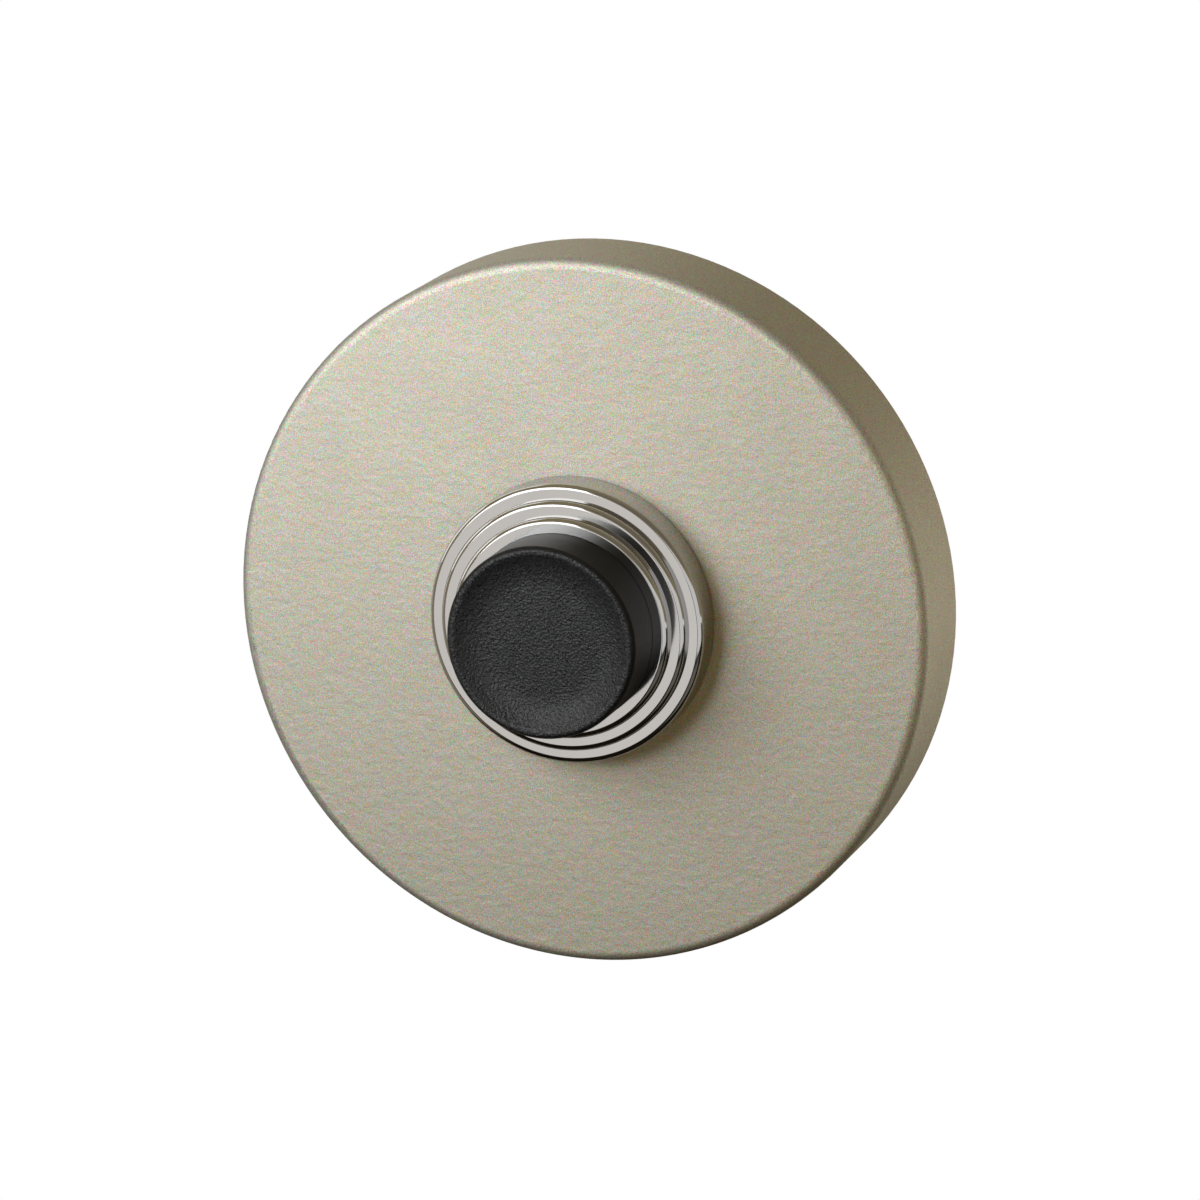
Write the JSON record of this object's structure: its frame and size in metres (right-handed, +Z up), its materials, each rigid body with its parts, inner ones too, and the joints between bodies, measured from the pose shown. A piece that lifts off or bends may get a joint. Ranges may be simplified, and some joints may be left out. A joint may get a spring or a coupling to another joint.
{
  "type": "doorbell push button",
  "caption": "Round wall-mounted doorbell push: hollow champagne rosette on a snap-in base plate, stepped chrome bezel and a dished black button that springs back.",
  "frame": {"origin": "centre of the base plate's back face, on the wall plane, midway between the two wall screws", "axes": "+Z up the wall, +Y into the wall along the button's axis, front facing -Y"},
  "size_m": [0.05, 0.0269, 0.05],
  "materials": {
    "champagne_metal": "satin champagne plating over a fine grained surface",
    "polished_chrome": "mirror polished chrome plating",
    "seal_rubber": "matt black rubber",
    "button_black": "black moulded plastic, grained face and smooth side",
    "carrier_plastic": "dark brown insulating moulding",
    "spring_steel": "drawn spring steel",
    "contact_brass": "rolled brass strip",
    "contact_silver": "bright silver rivet",
    "zinc_steel": "zinc plated steel",
    "nut_brass": "nickel plated brass",
    "base_nylon": "black moulded nylon"
  },
  "bodies": {
    "housing": {"rosette": "champagne_metal", "bezel": "polished_chrome", "bezel_seal": "seal_rubber", "contact_carrier": "carrier_plastic", "retaining_ring": "spring_steel", "contact_blade_left": "contact_brass", "contact_blade_right": "contact_brass", "fixed_tip_left": "contact_silver", "fixed_tip_right": "contact_silver", "terminal_clamp_left": "zinc_steel", "terminal_clamp_right": "zinc_steel", "terminal_screws": "zinc_steel", "return_spring": "spring_steel", "lock_washer": "zinc_steel", "fixing_nut": "nut_brass", "base_plate": "base_nylon"},
    "button": {"push_button": "button_black", "contact_bridge": "contact_brass", "bridge_tip_left": "contact_silver", "bridge_tip_right": "contact_silver"}
  },
  "joints": [
    {"name": "button_press", "type": "slide", "parent": "housing", "child": "button", "axis": [0, 1, 0], "range_m": [0, 0.002], "stiffness_N_per_m": 800, "springref_m": -0.0012, "deforming": ["return_spring"]}
  ]
}
